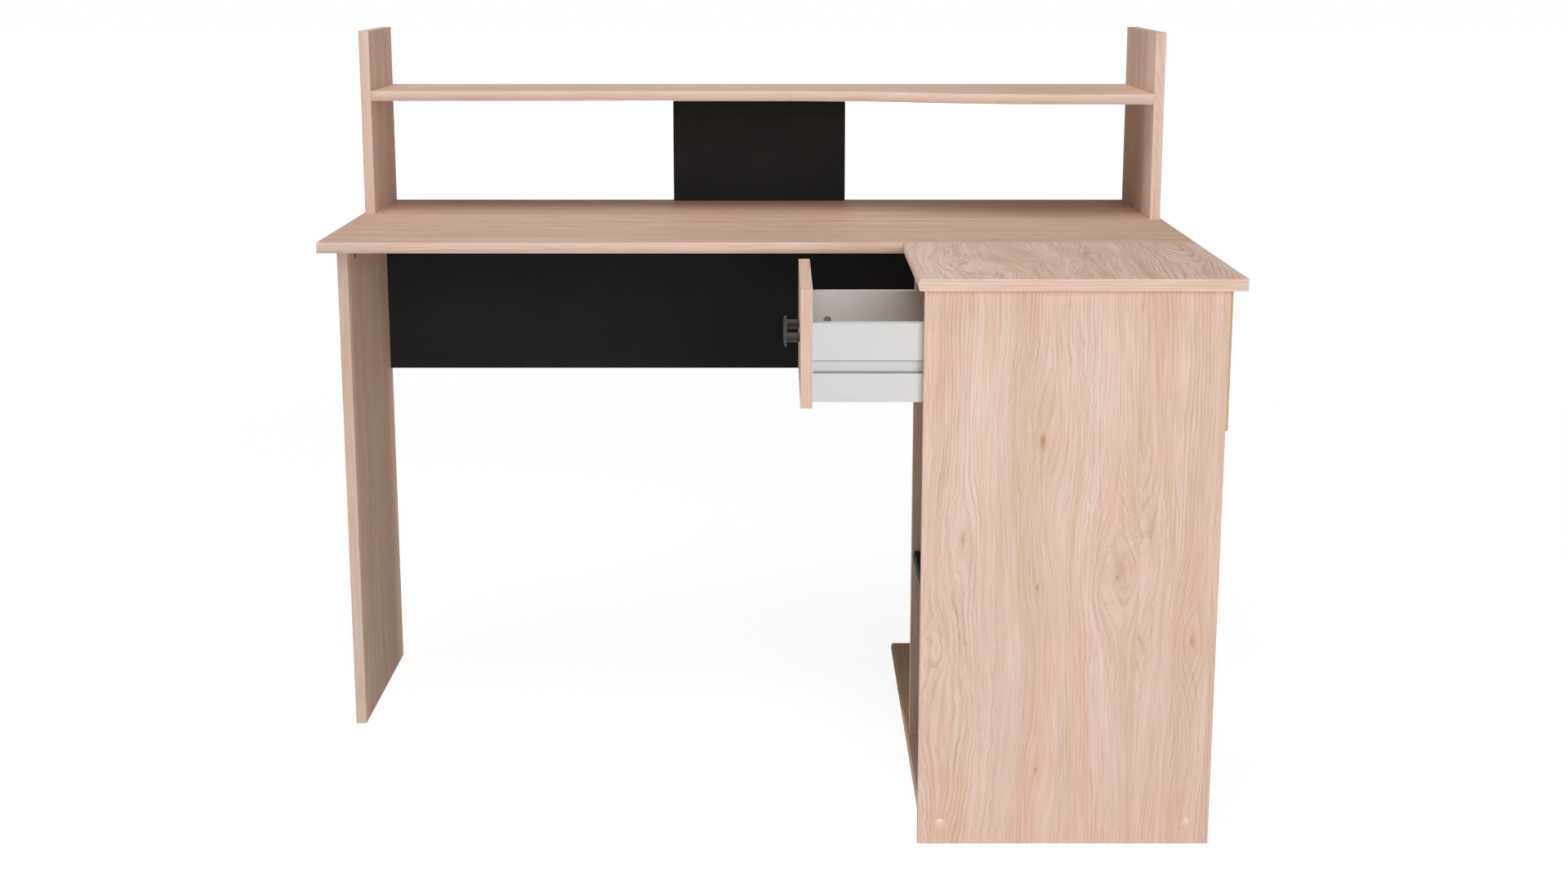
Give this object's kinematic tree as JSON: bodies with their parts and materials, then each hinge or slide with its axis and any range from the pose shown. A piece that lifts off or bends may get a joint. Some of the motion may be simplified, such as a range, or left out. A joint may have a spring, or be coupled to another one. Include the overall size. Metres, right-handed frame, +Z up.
{
  "type": "student desk with hutch",
  "caption": "L-shaped student desk of pale oak boards with a drawer pedestal under its return, a dark modesty panel and a low hutch with a wave-fronted shelf.",
  "frame": {"origin": "on the floor, under the middle of the desk's width and depth", "axes": "+X to the sitter's right along the desk's width, +Y towards the wall, +Z up"},
  "size_m": [1.204, 0.814, 1.014],
  "materials": {
    "oak_decor": "pale pinkish oak foil on chipboard, fine straight grain, satin",
    "black_decor": "black foil on chipboard, fine pores, matt",
    "white_decor": "white foil on chipboard, smooth, satin",
    "hardboard": "thin brown fibreboard, smooth",
    "zinc_steel": "bright zinc plating",
    "zinc_cam": "die-cast zinc, dull grey",
    "beech": "plain turned beech",
    "handle_metal": "dark grey satin coating",
    "cap_plastic": "oak-toned smooth plastic",
    "runner_plastic": "light grey smooth plastic",
    "foot_plastic": "black moulded plastic"
  },
  "bodies": {
    "desk": {"desktop_main": "oak_decor", "desktop_return": "oak_decor", "left_leg_panel": "oak_decor", "right_leg_panel": "oak_decor", "pedestal_front_panel": "oak_decor", "pedestal_inner_panel": "oak_decor", "bottom_board": "oak_decor", "hutch_left_side": "oak_decor", "hutch_right_side": "oak_decor", "hutch_shelf": "oak_decor", "modesty_panel": "black_decor", "pedestal_shelf": "black_decor", "hutch_back_panel": "black_decor", "pedestal_back": "hardboard", "top_cam_bolts": "zinc_steel", "seam_cam_bolts": "zinc_steel", "modesty_cam_bolts": "zinc_steel", "shelf_cam_bolts": "zinc_steel", "base_screws": "zinc_steel", "runner_screws": "zinc_steel", "foot_screws": "zinc_steel", "hutch_screws": "zinc_steel", "back_nails": "zinc_steel", "shelf_pins": "zinc_steel", "top_cam_locks": "zinc_cam", "seam_cam_locks": "zinc_cam", "modesty_cam_locks": "zinc_cam", "shelf_cam_locks": "zinc_cam", "top_dowels": "beech", "seam_dowels": "beech", "modesty_dowels": "beech", "hutch_dowels": "beech", "screw_cover_caps": "cap_plastic", "drawer_runner_near": "runner_plastic", "drawer_runner_far": "runner_plastic", "base_feet": "foot_plastic"},
    "drawer": {"drawer_front": "oak_decor", "drawer_near_side": "white_decor", "drawer_far_side": "white_decor", "drawer_back": "white_decor", "drawer_bottom": "hardboard", "drawer_handle": "handle_metal", "handle_screws": "zinc_steel", "drawer_cam_bolts": "zinc_steel", "drawer_cam_locks": "zinc_cam", "drawer_dowels": "beech", "drawer_back_screws": "zinc_steel", "drawer_bottom_screws": "zinc_steel"}
  },
  "joints": [
    {"name": "drawer_slide", "type": "slide", "parent": "desk", "child": "drawer", "axis": [-1, 0, 0], "range_m": [-0.159, 0.091]}
  ]
}
